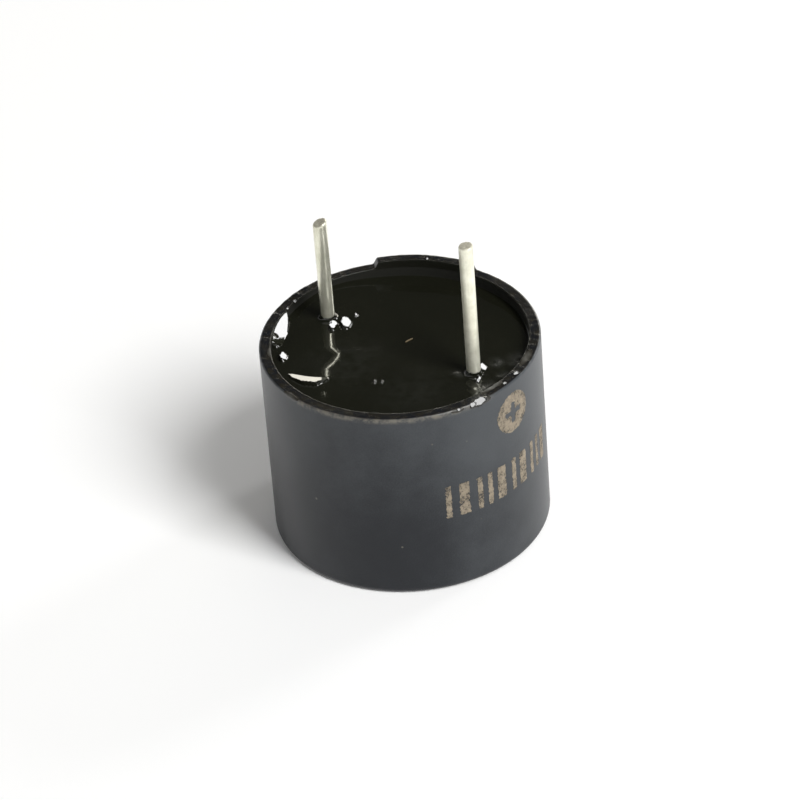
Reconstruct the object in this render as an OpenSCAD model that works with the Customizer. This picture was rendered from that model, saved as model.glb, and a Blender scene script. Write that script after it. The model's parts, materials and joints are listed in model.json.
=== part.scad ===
// Potted magnetic buzzer with its own driver, standing on its sound face with its two pins up.
// Millimetres. The case axis is Z, the sound face lies on Z = 0 and the positive pin stands on +X.

/* [Case] */
// Outside diameter of the case
case_d = 12; // [10.5:0.1:16]
// Height of the case from the sound face to the rim
case_h = 9.1; // [8.5:0.1:12]
// Thickness of the case wall round the stack
case_wall = 0.5; // [0.3:0.05:0.9]
// Thickness of the sound face
face_t = 0.9; // [0.6:0.1:1.4]
// Diameter of the sound hole
hole_d = 2.2; // [1.2:0.1:4]
// Chamfer round the sound hole
hole_chamfer = 0.2; // [0.05:0.05:0.4]
// Radius of the outer edge of the sound face
edge_r = 0.25; // [0.1:0.05:0.5]
// Radius of the outer edge of the rim
rim_r = 0.1; // [0.05:0.01:0.2]

/* [Stand-off] */
// Height of the stand-off above the rim
foot_h = 0.3; // [0.1:0.05:0.6]
// Angle that the stand-off spans along the rim
foot_span = 41; // [20:1:80]
// Direction of the middle of the stand-off, from the positive pin
foot_turn = 114; // [0:1:180]
// Length of the slope at each end of the stand-off
foot_slope = 0.25; // [0.1:0.05:0.5]

/* [Diaphragm] */
// Thickness of the diaphragm
diaphragm_t = 0.1; // [0.05:0.01:0.15]
// Width of the ring on which the diaphragm seats
seat_w = 0.4; // [0.2:0.05:0.6]
// Depth of the seat below the front of its frame
seat_depth = 0.25; // [0.2:0.05:0.5]
// Radial thickness of the frame that seats the diaphragm
frame_wall = 1; // [0.8:0.05:1.3]
// Diameter of the weight on the diaphragm
weight_d = 4; // [2:0.1:6]
// Thickness of the weight on the diaphragm
weight_t = 0.4; // [0.2:0.05:0.6]

/* [Magnet and pole] */
// Radial thickness of the ring magnet
magnet_wall = 1.1; // [0.7:0.05:1.4]
// Height of the ring magnet
magnet_h = 2.4; // [1.6:0.1:2.9]
// Diameter of the pole
pole_d = 2.4; // [1.6:0.1:2.8]
// Height of the pole above the yoke
pole_l = 2.9; // [2.4:0.1:3.3]
// Air gap between the pole and the diaphragm
pole_gap = 0.3; // [0.15:0.05:0.6]
// Diameter of the rivet shank of the pole
shank_d = 1.4; // [0.8:0.1:1.5]
// Diameter of the peened rivet head
rivet_d = 2.2; // [1.6:0.1:2.6]
// Height of the peened rivet head
rivet_h = 0.35; // [0.2:0.05:0.6]
// Thickness of the yoke plate
yoke_t = 0.6; // [0.4:0.05:0.8]

/* [Coil] */
// Length of the pole that stands out of the bobbin
pole_show = 0.35; // [0.1:0.05:0.6]
// Thickness of the bobbin's barrel
barrel_t = 0.25; // [0.15:0.05:0.4]
// Thickness of each bobbin flange
flange_t = 0.3; // [0.2:0.05:0.5]
// Height of each flange above the winding
flange_lip = 0.2; // [0.15:0.05:0.4]
// Room between the bobbin and the magnet
coil_room = 0.15; // [0.05:0.05:0.4]
// Diameter of the winding wire
wire_d = 0.1; // [0.06:0.01:0.14]

/* [Board] */
// Thickness of the circuit board
board_t = 0.8; // [0.4:0.1:1]
// Thickness of the copper on the board
copper_t = 0.04; // [0.03:0.005:0.1]
// Width of the copper tracks
track_w = 0.4; // [0.2:0.05:0.6]
// Length of the transistor body
transistor_l = 2.9; // [2.5:0.1:3.1]
// Width of the transistor body
transistor_w = 1.3; // [1.1:0.1:1.5]
// Height of the transistor over the copper
transistor_h = 1; // [0.8:0.05:1.2]
// Length of the resistor with its terminals
resistor_l = 1.6; // [1:0.1:2]
// Width of the resistor
resistor_w = 0.8; // [0.5:0.1:1.2]
// Height of the resistor
resistor_h = 0.45; // [0.3:0.05:0.6]

/* [Pins] */
// Distance between the two pins
pin_pitch = 7.6; // [7:0.1:8.2]
// Diameter of the pins
pin_d = 0.6; // [0.4:0.05:0.8]
// Height of the positive pin above the rim
positive_reach = 5.9; // [3:0.1:10]
// Height of the negative pin above the rim
negative_reach = 4.6; // [3:0.1:10]
// Diameter of the upset head under the board
head_d = 1.1; // [0.95:0.05:1.3]
// Thickness of the upset head under the board
head_t = 0.25; // [0.15:0.05:0.35]

/* [Potting] */
// Depth of the potting surface below the rim
potting_drop = 0.55; // [0.45:0.05:0.8]
// Cover of potting over the transistor
potting_cover = 0.26; // [0.1:0.02:0.5]
// Height to which the potting creeps up the wall and the pins
creep_h = 0.35; // [0.1:0.05:0.4]
// Width of the creep along the wall
wall_creep_w = 0.8; // [0.3:0.05:1]
// Width of the creep round each pin
pin_creep_w = 0.7; // [0.3:0.05:0.9]

/* [Hidden] */
$fn = 96;

// Extra length of every cut
over = 0.2;
// Radial clearance of pieces that slip into each other
slip = 0.05;
// Steps along a creeping or wetted curve
curve_steps = 10;

// Radii of the nested rings, from the case inwards
case_r = case_d / 2;
bore_r = case_r - case_wall;
stack_r = bore_r - slip;
frame_ir = stack_r - frame_wall;
diaphragm_r = frame_ir + seat_w;
magnet_or = frame_ir - slip;
magnet_ir = magnet_or - magnet_wall;
flange_r = magnet_ir - coil_room;
coil_r = flange_r - flange_lip;
pole_r = pole_d / 2;
bobbin_ir = pole_r + slip;
barrel_r = bobbin_ir + barrel_t;
// Overlap of the case ledge on the edge of the diaphragm
ledge_lip = 0.3;
resonator_r = diaphragm_r - ledge_lip;

// Heights of the stack, from the rim down
potting_z = case_h - potting_drop;
board_top = potting_z - potting_cover - transistor_h - copper_t;
board_z = board_top - board_t;
copper_top = board_top + copper_t;
yoke_z = board_z - yoke_t;
pole_z = yoke_z - pole_l;
diaphragm_top = pole_z - pole_gap;
diaphragm_z = diaphragm_top - diaphragm_t;
ledge_z = diaphragm_top - seat_depth;
bobbin_z = pole_z + pole_show;
winding_z = bobbin_z + flange_t;
winding_h = yoke_z - bobbin_z - 2 * flange_t;

// Small edge breaks of the metal pieces
metal_break = 0.08;
// Straight flank and flat crown of the peened rivet head
rivet_flank_share = 1 / 3;
rivet_crown_share = 2 / 3;
// Roundness of the corners of the winding
coil_corner = 0.15;

// Wire ends: directions round the axis, lift off what they pass, tucked stretch, run to the pads
lead_turns = [45, 135, 225];
wire_lift = 0.03;
lead_r = coil_r + wire_lift + wire_d / 2;
lead_tuck = 0.6;
lead_run = 1;
wire_pad_r = lead_r + lead_run;
wire_z = copper_top + wire_lift + wire_d / 2;
wire_hole_room = 0.1;
wire_hole_d = wire_d + 2 * wire_hole_room;

// Solder joints
wire_joint_r = 0.45;
wire_joint_h = 0.32;
pin_joint_r = 0.8;
pin_joint_h = 0.6;
// Copper that shows round a solder joint
pad_edge = 0.1;

// Pins: the flat that is coined where the board grips it keeps the section of the round wire
pin_x = pin_pitch / 2;
coined_share = 4 / 3;
coined_w = pin_d * coined_share;
coined_t = PI * pow(pin_d / 2, 2) / coined_w;
pin_hole_d = sqrt(pow(coined_w, 2) + pow(coined_t, 2)) + slip;
pin_tip = 0.08;
head_relief = 0.25;

// Board layout: the transistor and the resistor lie each side of the rivet
part_y = (rivet_d / 2 + stack_r) / 2;
dogleg_x = (rivet_d / 2 + pin_x - pin_joint_r) / 2;

// Transistor: body, its stand-off from the copper, and its formed leads
transistor_rise = 0.1;
transistor_draft = 0.12;
lead_w = 0.4;
lead_t = 0.12;
lead_foot = 0.35;
lead_knee = 0.2;
lead_depth = 0.2;
lead_pitch = 1.9;
lead_z = copper_top + transistor_rise + (transistor_h - transistor_rise) / 2;
lead_end = transistor_w / 2 + lead_knee + lead_foot;
terminal_l = 0.3;

// A point at a distance from the axis, in a direction
function polar(r, turn) = [r * cos(turn), r * sin(turn)];

// Concave quarter curve from a level surface up a wall, as [distance from the wall, height] pairs
function creep_curve(w, h) = [
    for (i = [0 : curve_steps])
        let (a = 90 * i / curve_steps)
        [w * (1 - sin(a)), h * (1 - cos(a))]
];

// What is cut from a square corner to leave it round, with the corner at the origin
module corner_cut(r) {
    difference() {
        translate([-over, -over]) square(r + over);
        translate([r, r]) circle(r);
    }
}

// Ring with a rectangular section and broken edges
module broken_ring(inner, outer, h, edge) {
    rotate_extrude()
        polygon([
            [inner + edge, 0], [outer - edge, 0], [outer, edge], [outer, h - edge],
            [outer - edge, h], [inner + edge, h], [inner, h - edge], [inner, edge]
        ]);
}

// Copper track between two points, with round ends
module track(a, b) {
    run = b - a;
    translate(a) circle(d = track_w);
    translate(b) circle(d = track_w);
    translate(a) rotate(atan2(run.y, run.x)) translate([0, -track_w / 2]) square([norm(run), track_w]);
}

module at_pins() {
    for (side = [-1, 1])
        translate([side * pin_x, 0, 0]) children();
}

module at_leads(r) {
    for (turn = lead_turns)
        rotate(turn) translate([r, 0, 0]) children();
}

// Section of the case: cup with a thick lower wall that makes the resonator
module case_section() {
    difference() {
        square([case_r, case_h]);
        translate([case_r, 0]) mirror([1, 0]) corner_cut(edge_r);
        translate([case_r, case_h]) rotate(180) corner_cut(rim_r);
        translate([-over, ledge_z]) square([bore_r + over, case_h]);
        translate([-over, face_t]) square([resonator_r + over, case_h]);
        translate([-over, -over]) square([hole_d / 2 + over, case_h]);
        polygon([
            [0, -hole_chamfer], [hole_d / 2 + 2 * hole_chamfer, -hole_chamfer],
            [hole_d / 2, hole_chamfer], [0, hole_chamfer]
        ]);
    }
}

// Raised stretch of the rim with sloped ends, on which the buzzer stands off its board
module rim_foot() {
    top_w = 2 * case_r * sin(foot_span / 2);
    root = rim_r;
    intersection() {
        translate([0, 0, case_h - root])
            difference() {
                cylinder(r = case_r, h = foot_h + root);
                translate([0, 0, -over]) cylinder(r = bore_r, h = foot_h + root + 2 * over);
            }
        rotate([90, 0, foot_turn + 90])
            linear_extrude(case_d)
                polygon([
                    [-top_w / 2 - foot_slope, case_h - root], [top_w / 2 + foot_slope, case_h - root],
                    [top_w / 2 + foot_slope, case_h], [top_w / 2, case_h + foot_h],
                    [-top_w / 2, case_h + foot_h], [-top_w / 2 - foot_slope, case_h]
                ]);
    }
}

module case() {
    color("#3b4046") {
        rotate_extrude() case_section();
        rim_foot();
    }
}

module diaphragm() {
    color("#b9bcbf")
        translate([0, 0, diaphragm_z]) cylinder(r = diaphragm_r - slip, h = diaphragm_t);
}

module diaphragm_weight() {
    color("#8d9094")
        translate([0, 0, diaphragm_z - weight_t]) {
            cylinder(d1 = weight_d - 2 * metal_break, d2 = weight_d, h = metal_break);
            translate([0, 0, metal_break]) cylinder(d = weight_d, h = weight_t - metal_break);
        }
}

module diaphragm_frame() {
    color("#26282b")
        rotate_extrude()
            difference() {
                translate([frame_ir, ledge_z]) square([frame_wall, yoke_z - ledge_z]);
                translate([frame_ir - over, ledge_z - over]) square([seat_w + over, seat_depth + over]);
            }
}

module ring_magnet() {
    color("#4a4744")
        translate([0, 0, yoke_z - magnet_h])
            broken_ring(magnet_ir, magnet_or, magnet_h, metal_break);
}

// Pole with a rivet shank through the yoke and the board, peened over on the far side
module pole_core() {
    color("#a7a9ab")
        rotate_extrude()
            polygon([
                [0, pole_z], [pole_r - metal_break, pole_z], [pole_r, pole_z + metal_break],
                [pole_r, yoke_z], [shank_d / 2, yoke_z], [shank_d / 2, board_top],
                [rivet_d / 2, board_top], [rivet_d / 2, board_top + rivet_h * rivet_flank_share],
                [rivet_d / 2 * rivet_crown_share, board_top + rivet_h], [0, board_top + rivet_h]
            ]);
}

module yoke_plate() {
    color("#9a9da0")
        difference() {
            translate([0, 0, yoke_z]) cylinder(r = stack_r, h = yoke_t);
            translate([0, 0, yoke_z - over]) {
                cylinder(d = shank_d + 2 * slip, h = yoke_t + 2 * over);
                at_pins() cylinder(d = head_d + 2 * head_relief, h = yoke_t + 2 * over);
                at_leads(lead_r) cylinder(d = wire_hole_d, h = yoke_t + 2 * over);
            }
        }
}

// Spool that slips on the pole, with a notch in its rear flange for each wire end
module coil_bobbin() {
    color("#d9d4c5")
        difference() {
            rotate_extrude()
                difference() {
                    translate([bobbin_ir, bobbin_z]) square([flange_r - bobbin_ir, yoke_z - bobbin_z]);
                    translate([barrel_r, winding_z]) square([flange_r, winding_h]);
                }
            at_leads(coil_r)
                translate([0, -wire_hole_d / 2, yoke_z - flange_t - over])
                    cube([flange_lip + over, wire_hole_d, flange_t + 2 * over]);
        }
}

module coil_winding() {
    color("#a5562c")
        translate([0, 0, winding_z])
            rotate_extrude()
                difference() {
                    translate([barrel_r, 0]) square([coil_r - barrel_r, winding_h]);
                    translate([coil_r, 0]) mirror([1, 0]) corner_cut(coil_corner);
                    translate([coil_r, winding_h]) rotate(180) corner_cut(coil_corner);
                }
}

// Wire ends that rise from the winding through the yoke and the board and run out to their pads
module coil_leads() {
    foot = yoke_z - flange_t - lead_tuck;
    color("#b8652f")
        at_leads(lead_r) {
            translate([0, 0, foot]) cylinder(d = wire_d, h = wire_z - foot);
            translate([0, 0, wire_z]) sphere(d = wire_d);
            translate([0, 0, wire_z]) rotate([0, 90, 0]) cylinder(d = wire_d, h = lead_run);
        }
}

module circuit_board() {
    color("#8a7a3f")
        difference() {
            translate([0, 0, board_z]) cylinder(r = stack_r, h = board_t);
            translate([0, 0, board_z - over]) {
                cylinder(d = shank_d + 2 * slip, h = board_t + 2 * over);
                at_pins() cylinder(d = pin_hole_d, h = board_t + 2 * over);
                at_leads(lead_r) cylinder(d = wire_hole_d, h = board_t + 2 * over);
            }
        }
}

// Copper of the driver: supply, ground, collector, base and feedback
module board_copper() {
    feet_y = (lead_end + transistor_w / 2 + lead_knee) / 2;
    base = [lead_pitch / 2, part_y - feet_y];
    emitter = [-lead_pitch / 2, part_y - feet_y];
    collector = [0, part_y + feet_y];
    resistor_x = (resistor_l - terminal_l) / 2;
    dogleg = [dogleg_x, 0];
    edges = 2 * [pad_edge, pad_edge];
    color("#b87333")
        translate([0, 0, board_top])
            linear_extrude(copper_t)
                difference() {
                    union() {
                        for (side = [-1, 1])
                            translate([side * pin_x, 0]) circle(r = pin_joint_r + pad_edge);
                        for (turn = lead_turns)
                            translate(polar(wire_pad_r, turn)) circle(r = wire_joint_r + pad_edge);
                        for (foot = [base, emitter, collector])
                            translate(foot) square([lead_w, lead_foot] + edges, center = true);
                        for (side = [-1, 1])
                            translate([side * resistor_x, -part_y])
                                square([terminal_l, resistor_w] + edges, center = true);
                        track([pin_x, 0], polar(wire_pad_r, lead_turns[0]));
                        track(collector, polar(wire_pad_r, lead_turns[1]));
                        track([-resistor_x, -part_y], polar(wire_pad_r, lead_turns[2]));
                        track([-pin_x, 0], emitter);
                        track(base, dogleg);
                        track(dogleg, [resistor_x, -part_y]);
                    }
                    for (side = [-1, 1])
                        translate([side * pin_x, 0]) circle(d = pin_hole_d);
                }
}

// Moulded block with drafted sides, before its lead pockets
module transistor_block() {
    rise = copper_top + transistor_rise;
    top = copper_top + transistor_h;
    half = transistor_w / 2;
    translate([-transistor_l / 2, part_y, 0])
        rotate([90, 0, 90])
            linear_extrude(transistor_l)
                polygon([
                    [-half + transistor_draft, rise], [half - transistor_draft, rise], [half, lead_z],
                    [half - transistor_draft, top], [-half + transistor_draft, top], [-half, lead_z]
                ]);
}

module transistor_body() {
    color("#1d1e20")
        difference() {
            transistor_block();
            formed_leads();
        }
}

// One gull-wing lead in the plane of its bend, leaving the body along +X
module gull_wing() {
    side = transistor_w / 2;
    knee = side + lead_knee;
    rotate([90, 0, 0])
        translate([0, 0, -lead_w / 2])
            linear_extrude(lead_w)
                polygon([
                    [side - lead_depth, lead_z - lead_t / 2], [knee - lead_t, lead_z - lead_t / 2],
                    [knee - lead_t, copper_top], [lead_end, copper_top], [lead_end, copper_top + lead_t],
                    [knee, copper_top + lead_t], [knee, lead_z + lead_t / 2],
                    [side - lead_depth, lead_z + lead_t / 2]
                ]);
}

module formed_leads() {
    translate([0, part_y, 0]) {
        rotate(90) gull_wing();
        for (side = [-1, 1])
            translate([side * lead_pitch / 2, 0, 0]) rotate(-90) gull_wing();
    }
}

module transistor_leads() {
    color("#c4c7ca") formed_leads();
}

module resistor_body() {
    color("#22242a")
        translate([-resistor_l / 2 + terminal_l, -part_y - resistor_w / 2, copper_top])
            cube([resistor_l - 2 * terminal_l, resistor_w, resistor_h]);
}

module resistor_terminals() {
    color("#c9cbcd")
        for (side = [-1, 1])
            translate([side * (resistor_l - terminal_l) / 2, -part_y, copper_top + resistor_h / 2])
                cube([terminal_l, resistor_w, resistor_h], center = true);
}

// Domes of solder that hold the wire ends to their pads
module wire_solder() {
    dome_r = (pow(wire_joint_r, 2) + pow(wire_joint_h, 2)) / (2 * wire_joint_h);
    color("#c2c5c8")
        difference() {
            intersection() {
                at_leads(wire_pad_r)
                    translate([0, 0, copper_top + wire_joint_h - dome_r]) sphere(dome_r);
                translate([0, 0, copper_top]) cylinder(r = stack_r, h = wire_joint_h);
            }
            coil_leads();
        }
}

// Concave fillets of solder round the pins, which also fill the pin holes of the board
module pin_solder() {
    curve = [for (p = creep_curve(pin_joint_r - pin_d / 2, pin_joint_h)) [p.x + pin_d / 2, p.y]];
    color("#c2c5c8")
        difference() {
            at_pins() {
                translate([0, 0, board_z]) cylinder(d = pin_hole_d, h = copper_top - board_z);
                translate([0, 0, copper_top])
                    rotate_extrude()
                        polygon(concat([[0, 0]], curve, [[0, pin_joint_h]]));
            }
            pin_shapes();
        }
}

// Pin with an upset head under the board, a coined root and a straight round wire
module pin_shape(reach) {
    top = case_h + reach;
    translate([0, 0, board_z - head_t]) cylinder(d = head_d, h = head_t);
    translate([-coined_t / 2, -coined_w / 2, board_z]) cube([coined_t, coined_w, potting_z - board_z]);
    translate([0, 0, potting_z]) cylinder(d = pin_d, h = top - pin_tip - potting_z);
    translate([0, 0, top - pin_tip]) cylinder(d1 = pin_d, d2 = pin_d - 2 * pin_tip, h = pin_tip);
}

module pin_shapes() {
    translate([pin_x, 0, 0]) pin_shape(positive_reach);
    translate([-pin_x, 0, 0]) pin_shape(negative_reach);
}

module positive_pin() {
    color("#cfcbc0") translate([pin_x, 0, 0]) pin_shape(positive_reach);
}

module negative_pin() {
    color("#cfcbc0") translate([-pin_x, 0, 0]) pin_shape(negative_reach);
}

// Potting poured over the board, creeping up the wall and the pins
module potting_pour() {
    wall_curve = creep_curve(wall_creep_w, creep_h);
    pin_curve = creep_curve(pin_creep_w, creep_h);
    rotate_extrude()
        polygon(concat(
            [[0, board_top], [bore_r, board_top]],
            [for (i = [curve_steps : -1 : 0]) [bore_r - wall_curve[i].x, potting_z + wall_curve[i].y]],
            [[0, potting_z]]
        ));
    at_pins()
        translate([0, 0, potting_z])
            rotate_extrude()
                polygon(concat(
                    [[0, -potting_cover]], [[pin_d / 2 + pin_creep_w, -potting_cover]],
                    [for (p = pin_curve) [p.x + pin_d / 2, p.y]],
                    [[0, creep_h]]
                ));
}

module epoxy_potting() {
    color("#15150f")
        difference() {
            potting_pour();
            pole_core();
            board_copper();
            transistor_block();
            formed_leads();
            resistor_body();
            resistor_terminals();
            coil_leads();
            wire_solder();
            pin_solder();
            pin_shapes();
        }
}

case();
diaphragm();
diaphragm_weight();
diaphragm_frame();
ring_magnet();
pole_core();
yoke_plate();
coil_bobbin();
coil_winding();
coil_leads();
circuit_board();
board_copper();
transistor_body();
transistor_leads();
resistor_body();
resistor_terminals();
wire_solder();
pin_solder();
positive_pin();
negative_pin();
epoxy_potting();
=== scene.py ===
"""Looks of a potted magnetic buzzer that stands on its sound face with its two pins up.

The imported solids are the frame. The case, the potting and the pins get finely modelled pieces in their
place, the pieces sealed inside keep their solids and get finishes, and a plain stage lights the part.
"""
import json
import math

import bpy
import numpy as np
from bpy.props import FloatProperty, FloatVectorProperty, PointerProperty
from mathutils import Matrix, Vector


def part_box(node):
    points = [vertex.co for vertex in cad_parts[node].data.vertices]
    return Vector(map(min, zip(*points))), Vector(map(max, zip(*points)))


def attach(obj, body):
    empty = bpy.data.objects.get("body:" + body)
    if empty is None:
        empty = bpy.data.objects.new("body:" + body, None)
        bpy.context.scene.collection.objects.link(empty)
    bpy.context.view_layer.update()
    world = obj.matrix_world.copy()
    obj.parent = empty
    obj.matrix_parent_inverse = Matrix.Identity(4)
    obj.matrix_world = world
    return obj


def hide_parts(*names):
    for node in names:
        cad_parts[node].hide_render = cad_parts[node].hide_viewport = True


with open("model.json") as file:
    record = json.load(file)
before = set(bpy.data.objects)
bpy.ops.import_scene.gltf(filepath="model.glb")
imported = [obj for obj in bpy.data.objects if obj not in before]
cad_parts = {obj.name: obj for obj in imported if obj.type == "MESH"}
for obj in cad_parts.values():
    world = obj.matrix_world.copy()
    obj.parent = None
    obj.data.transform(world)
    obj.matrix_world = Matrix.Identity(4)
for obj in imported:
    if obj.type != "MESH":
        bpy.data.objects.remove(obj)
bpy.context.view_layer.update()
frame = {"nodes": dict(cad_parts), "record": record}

bl_info = {
    "name": "Potted buzzer looks",
    "version": (1, 0, 0),
    "blender": (4, 5, 0),
    "location": "View3D > Sidebar > Buzzer",
    "description": "Models and finishes the pieces of a potted magnetic buzzer round its packed solids",
    "category": "Object",
}

# A millimetre, the part's one body, and the places and sizes that the frame gives, in metres
MM = 0.001
BODY = "root"
CASE_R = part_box("case")[1].x
FOOT_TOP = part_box("case")[1].z
RIM_Z = max(v.co.z for v in frame["nodes"]["case"].data.vertices if v.co.y < 0)
BORE_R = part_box("epoxy_potting")[1].x
LEDGE_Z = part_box("diaphragm_frame")[0].z
BOARD_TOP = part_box("circuit_board")[1].z
PIN_MOUNTS = {m["name"]: m for m in frame["record"]["mounts"] if m["kind"] == "pin"}
PIN_R = PIN_MOUNTS["positive_pin_wire"]["dims"]["r_mm"] * MM
POSITIVE_X = PIN_MOUNTS["positive_pin_wire"]["pos_m"][0]
NEGATIVE_X = PIN_MOUNTS["negative_pin_wire"]["pos_m"][0]

# Depth of the potting's surface below the rim, in millimetres
POUR_DROP = 0.55

# How finely the pieces are meshed
CASE_COLUMNS = 720
POUR_RINGS, POUR_COLUMNS = 120, 760
WIRE_RINGS, PIN_COLUMNS = 60, 64
SMEAR_ROWS, SMEAR_COLUMNS = 48, 1440
BEAD_ROWS, BEAD_COLUMNS = 14, 24
FIBRE_RINGS, FIBRE_COLUMNS = 24, 8
INK_CELL = 0.045 * MM
SHARP_ANGLE = math.radians(50)


# Properties

def length(name, description, millimetres):
    """A length whose default is given in millimetres."""
    default = millimetres * MM
    return FloatProperty(name=name, description=description, default=default, unit="LENGTH", precision=6)


def angle(name, description, degrees):
    """An angle whose default is given in degrees."""
    return FloatProperty(
        name=name, description=description, default=math.radians(degrees), subtype="ANGLE"
    )


def level(name, description, default):
    """A brightness, where 1 is white."""
    return FloatProperty(name=name, description=description, default=default, min=0)


def colour(name, description, rgb):
    """A linear colour."""
    return FloatVectorProperty(
        name=name, description=description, default=rgb, size=3, min=0, max=1, subtype="COLOR"
    )


class CaseLooks(bpy.types.PropertyGroup):
    """Sizes and colours of the case."""

    hole_d: length("Sound hole", "Diameter of the sound hole", 2.2)
    hole_chamfer: length("Hole chamfer", "Chamfer round the sound hole", 0.2)
    face_t: length("Face", "Thickness of the sound face", 0.9)
    resonator_r: length("Resonator", "Radius of the air space in front of the diaphragm", 4.55)
    edge_round: length("Face edge", "Radius of the outer edge of the sound face", 0.25)
    rim_round: length("Rim edge", "Radius of the outer edge of the rim", 0.1)
    inner_round: length("Inner edges", "Radius of the edges inside the case", 0.03)
    foot_turn: angle("Stand-off place", "Direction of the middle of the stand-off", 114)
    foot_span: angle("Stand-off span", "Angle that the stand-off spans", 41)
    foot_slope: length("Stand-off slope", "Length of the slope at each end of the stand-off", 0.25)
    unevenness: length("Rim unevenness", "Depth of the nicks and waves along the rim", 0.016)
    shade: colour("Plastic", "Colour of the plastic", (0.0078, 0.0094, 0.0128))
    # The bloom colour is partly the plastic's own paler tone and partly painted light on the upper wall and
    # the key-lit side.
    bloom: colour("Bloom", "Paler bloom where the plastic was handled", (0.0570, 0.0630, 0.0690))
    # The dust colour also paints the highlight on the front edge of the rim.
    dust: colour("Dust", "Dust and worn edges", (0.30, 0.27, 0.21))
    rim: colour("Rim", "Resin film on top of the rim", (0.0215, 0.0190, 0.0135))
    film: colour("Bore", "Resin film on the wall of the bore", (0.0094, 0.0096, 0.0064))


class PottingLooks(bpy.types.PropertyGroup):
    """Sizes and colours of the potting."""

    drop: length("Drop", "Depth of the potting surface below the rim", POUR_DROP)
    ripple_h: length("Ripples", "Height of the slow waves of the surface", 0.006)
    resin: colour("Resin", "Colour of the resin", (0.0094, 0.0098, 0.0058))
    haze: colour("Haze", "Paler haze on the resin", (0.0130, 0.0130, 0.0080))
    dust: colour("Dust", "Dust on the resin", (0.080, 0.075, 0.050))
    # The dull colour is partly dull resin and partly a painted reflection over the front and painted
    # highlights by the positive pin.
    dull: colour("Dull resin", "Resin that dried dull", (0.052, 0.053, 0.048))
    # The smear colour is partly pale dull resin and partly a painted reflection on the right of the rim.
    smear: colour("Smear", "Thin dull resin on the rim", (0.150, 0.152, 0.142))


class PinLooks(bpy.types.PropertyGroup):
    """Sizes and colours of the pins."""

    root_w: length("Root width", "Width of the flat root in the board", 0.8)
    root_t: length("Root thickness", "Thickness of the flat root in the board", 0.353)
    head_t: length("Head", "Thickness of the upset head under the board", 0.25)
    head_r: length("Head radius", "Radius of the upset head under the board", 0.55)
    tin: colour("Tin", "Bright tin plate", (0.95, 0.94, 0.79))
    tarnish: colour("Tarnish", "Dull tin plate", (0.72, 0.71, 0.57))
    cut_end: colour("Cut end", "Bare metal of the cut ends", (0.23, 0.19, 0.15))


class InkLooks(bpy.types.PropertyGroup):
    """Sizes and colour of the ink marks on the wall."""

    thickness: length("Ink film", "Thickness of the ink", 0.006)
    mark_d: length("Polarity mark", "Diameter of the disc with the plus sign", 1.92)
    plus_l: length("Plus length", "Length of the arms of the plus sign", 1.0)
    plus_w: length("Plus width", "Width of the arms of the plus sign", 0.24)
    bar_h: length("Bar height", "Height of the row of bars", 1.6)
    bar_w: length("Bar width", "Width of a thin bar", 0.24)
    ink: colour("Ink", "Colour of the ink", (0.33, 0.275, 0.20))


class StageLooks(bpy.types.PropertyGroup):
    """Floor, light and view."""

    floor: colour("Floor", "Colour of the floor", (0.95, 0.95, 0.945))
    lift: level("Floor lift", "Light that the paper floor adds of itself", 0.08)
    key: level("Key", "Brightness of the soft light at the front right", 17.4)
    window: level("Window", "Brightness of the small light at the right", 14.0)
    strip: level("Strip", "Brightness of the low light behind", 5.0)
    warm: colour("Warm tint", "Colour of the low light behind", (1.0, 0.95, 0.82))
    ceiling: level("Ceiling", "Brightness of the room overhead", 0.40)
    dome: level("Walls", "Brightness of the room between the floor and the ceiling", 0.035)
    horizon: level("Horizon", "Brightness of the room near the floor", 1.05)
    view_turn: angle("View turn", "Direction from which the camera looks", 38.0)
    view_rise: angle("View rise", "Height of the camera above the horizon", 35.163)
    view_roll: angle("View roll", "Turn of the camera about its own axis", 4.517)
    view_distance: length("View distance", "Distance of the camera from the origin", 183.46)


class BuzzerLooks(bpy.types.PropertyGroup):
    """All that can be changed on the buzzer's looks."""

    case: PointerProperty(type=CaseLooks)
    potting: PointerProperty(type=PottingLooks)
    pins: PointerProperty(type=PinLooks)
    ink: PointerProperty(type=InkLooks)
    stage: PointerProperty(type=StageLooks)


# Shader trees

# Sockets of a Mix node that blends colours, which share their names with its other kinds
MIX_FACTOR, MIX_FIRST, MIX_SECOND, MIX_RESULT = 0, 6, 7, 2
# Radians that a wave texture of scale 1 turns through in one unit
WAVE_RADIANS = 20


class Wire:
    """An output socket of a shader tree. Sums on it add Math nodes, or Vector Math nodes on vectors."""

    def __init__(self, paint, socket):
        self.paint = paint
        self.socket = socket

    def sum(self, operation, first, second):
        """Adds the node that works out one operation."""
        terms = [term for term in (first, second) if isinstance(term, Wire)]
        on_vectors = any(term.socket.type == "VECTOR" for term in terms)
        kind = "ShaderNodeVectorMath" if on_vectors else "ShaderNodeMath"
        return self.paint.node(kind, {"operation": operation}, {0: first, 1: second})

    def __add__(self, other):
        return self.sum("ADD", self, other)

    def __radd__(self, other):
        return self.sum("ADD", other, self)

    def __sub__(self, other):
        return self.sum("SUBTRACT", self, other)

    def __rsub__(self, other):
        return self.sum("SUBTRACT", other, self)

    def __mul__(self, other):
        return self.sum("MULTIPLY", self, other)

    def __rmul__(self, other):
        return self.sum("MULTIPLY", other, self)


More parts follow.
